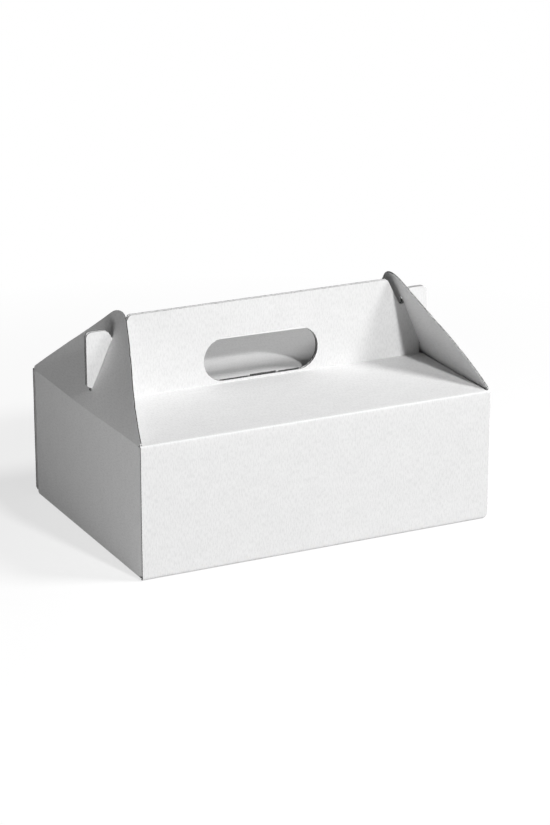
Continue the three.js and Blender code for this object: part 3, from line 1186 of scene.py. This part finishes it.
class TRAYBOX_OT_stage(bpy.types.Operator):
    """Set up the pale floor, the soft lamps and the camera"""

    bl_idname = "tray_box.stage"
    bl_label = "Set the stage"

    def execute(self, context):
        scene = context.scene
        stage = scene.tray_box_stage
        scene.view_settings.view_transform = "Standard"
        self.floor(stage)
        self.sky(scene, stage)
        # Each lamp's direction from the box, distance and width, and the low card's height, in m.
        self.lamp("Key lamp", (0.16, -1.0, 0.61), 4.0, 0.36, stage.key)
        self.lamp("Top lamp", (0.55, -0.36, 0.75), 3.2, 1.0, stage.top)
        self.lamp("Low card", (-0.85, -0.3, -0.065), 0.9, 0.5, stage.card, 0.06)
        self.camera(scene)
        return {"FINISHED"}

    def seen_directly(self, tree):
        """1 for rays that show the backdrop itself, straight, in gloss or through glass."""
        path = add_node(tree, "ShaderNodeLightPath").outputs
        first = add_node(
            tree, "ShaderNodeMath", {0: path["Is Camera Ray"], 1: path["Is Glossy Ray"]},
            operation="MAXIMUM",
        )
        return add_node(
            tree, "ShaderNodeMath", {0: first, 1: path["Is Transmission Ray"]},
            operation="MAXIMUM",
        )

    def floor(self, stage):
        """A plain floor that holds the box's shadow and fades into the backdrop."""
        mesh = bpy.data.meshes.new("floor")
        reach, under = 9.0, -0.0004
        corners = [(-reach, -reach), (reach, -reach), (reach, reach), (-reach, reach)]
        mesh.from_pydata([(x, y, under) for x, y in corners], [], [(0, 1, 2, 3)])
        floor = add_object("floor", mesh)
        material = bpy.data.materials.new("Pale studio floor, matt paint")
        material.use_nodes = True
        tree = material.node_tree
        tree.nodes.clear()
        backdrop = tuple(stage.backdrop)
        plain = add_node(tree, "ShaderNodeBsdfDiffuse", {"Color": tuple(stage.floor)})
        pale = add_node(tree, "ShaderNodeBsdfDiffuse", {"Color": backdrop})
        glow = add_node(tree, "ShaderNodeEmission", {"Color": backdrop, "Strength": 1.0})
        # Near the box 0.3 of the floor's look is its own lit paint, which holds the shadow. From
        # 0.35 to 0.9 m away it fades into the backdrop.
        place = add_node(tree, "ShaderNodeTexCoord").outputs["Object"]
        away = add_node(tree, "ShaderNodeVectorMath", {0: place}, operation="LENGTH")
        fade = add_node(
            tree, "ShaderNodeMapRange",
            {"Value": away, "From Min": 0.35, "From Max": 0.9, "To Min": 0.7, "To Max": 1.0},
        )
        shown = add_node(tree, "ShaderNodeMixShader", {0: fade, 1: pale, 2: glow})
        seen = self.seen_directly(tree)
        either = add_node(tree, "ShaderNodeMixShader", {0: seen, 1: plain, 2: shown})
        add_node(tree, "ShaderNodeOutputMaterial", {"Surface": either})
        mesh.materials.append(material)

    def sky(self, scene, stage):
        """A dim sky that the camera sees as the backdrop."""
        world = bpy.data.worlds.new("Pale studio")
        scene.world = world
        world.use_nodes = True
        tree = world.node_tree
        tree.nodes.clear()
        white, backdrop = (1, 1, 1, 1), tuple(stage.backdrop)
        dim = add_node(tree, "ShaderNodeBackground", {"Color": white, "Strength": stage.sky})
        shown = add_node(tree, "ShaderNodeBackground", {"Color": backdrop, "Strength": 1.0})
        seen = self.seen_directly(tree)
        either = add_node(tree, "ShaderNodeMixShader", {0: seen, 1: dim, 2: shown})
        add_node(tree, "ShaderNodeOutputWorld", {"Surface": either})

    def lamp(self, name, direction, distance, size, watts, height=None):
        """A round lamp, or an oblong one where it has a height, that faces the box."""
        data = bpy.data.lights.new(name, "AREA")
        data.shape = "RECTANGLE" if height else "DISK"
        data.size = size
        data.size_y = height or size
        data.energy = watts
        made = add_object(name, data)
        made.visible_camera = False
        box_middle = Vector((0, 0, 0.1))
        made.location = box_middle + Vector(direction).normalized() * distance
        made.rotation_mode = "QUATERNION"
        made.rotation_quaternion = Vector(direction).to_track_quat("Z", "Y")

    def camera(self, scene):
        """A long lens above the front left corner, at the photograph's viewing angle."""
        eye, target = Vector((-1.20299, -2.45709, 1.02750)), Vector((0.0292, 0.0204, 0.0925))
        data = bpy.data.cameras.new("Camera")
        data.sensor_width, data.lens = 36, 120.47
        data.clip_start, data.clip_end = 0.05, 100
        made = add_object("Camera", data)
        made.location = eye
        aim = target - eye
        made.rotation_mode = "QUATERNION"
        made.rotation_quaternion = aim.to_track_quat("-Z", "Y")
        scene.camera = made


class TRAYBOX_PT_panel(bpy.types.Panel):
    """Steps that make the box, in order"""

    bl_idname = "TRAYBOX_PT_panel"
    bl_label = "Tray Box"
    bl_space_type = "VIEW_3D"
    bl_region_type = "UI"
    bl_category = "Tray Box"

    def draw(self, context):
        for step in STEPS:
            self.layout.operator(step.bl_idname)
        for name in GROUPS:
            group = getattr(context.scene, name)
            column = self.layout.column(align=True)
            for setting in type(group).__annotations__:
                column.prop(group, setting)


GROUPS = {
    "tray_box_board": TrayBoxBoard,
    "tray_box_shape": TrayBoxShape,
    "tray_box_paper": TrayBoxPaper,
    "tray_box_stage": TrayBoxStage,
}
STEPS = (TRAYBOX_OT_carton, TRAYBOX_OT_flaps, TRAYBOX_OT_creases, TRAYBOX_OT_stage)


def register():
    for group in GROUPS.values():
        bpy.utils.register_class(group)
    for name, group in GROUPS.items():
        setattr(bpy.types.Scene, name, bpy.props.PointerProperty(type=group))
    for step in (*STEPS, TRAYBOX_PT_panel):
        bpy.utils.register_class(step)


def unregister():
    for step in (TRAYBOX_PT_panel, *reversed(STEPS)):
        bpy.utils.unregister_class(step)
    for name in GROUPS:
        delattr(bpy.types.Scene, name)
    for group in reversed(list(GROUPS.values())):
        bpy.utils.unregister_class(group)


def main():
    register()
    bpy.ops.tray_box.carton()
    bpy.ops.tray_box.flaps()
    bpy.ops.tray_box.creases()
    bpy.ops.tray_box.stage()


if __name__ == "__main__":
    main()
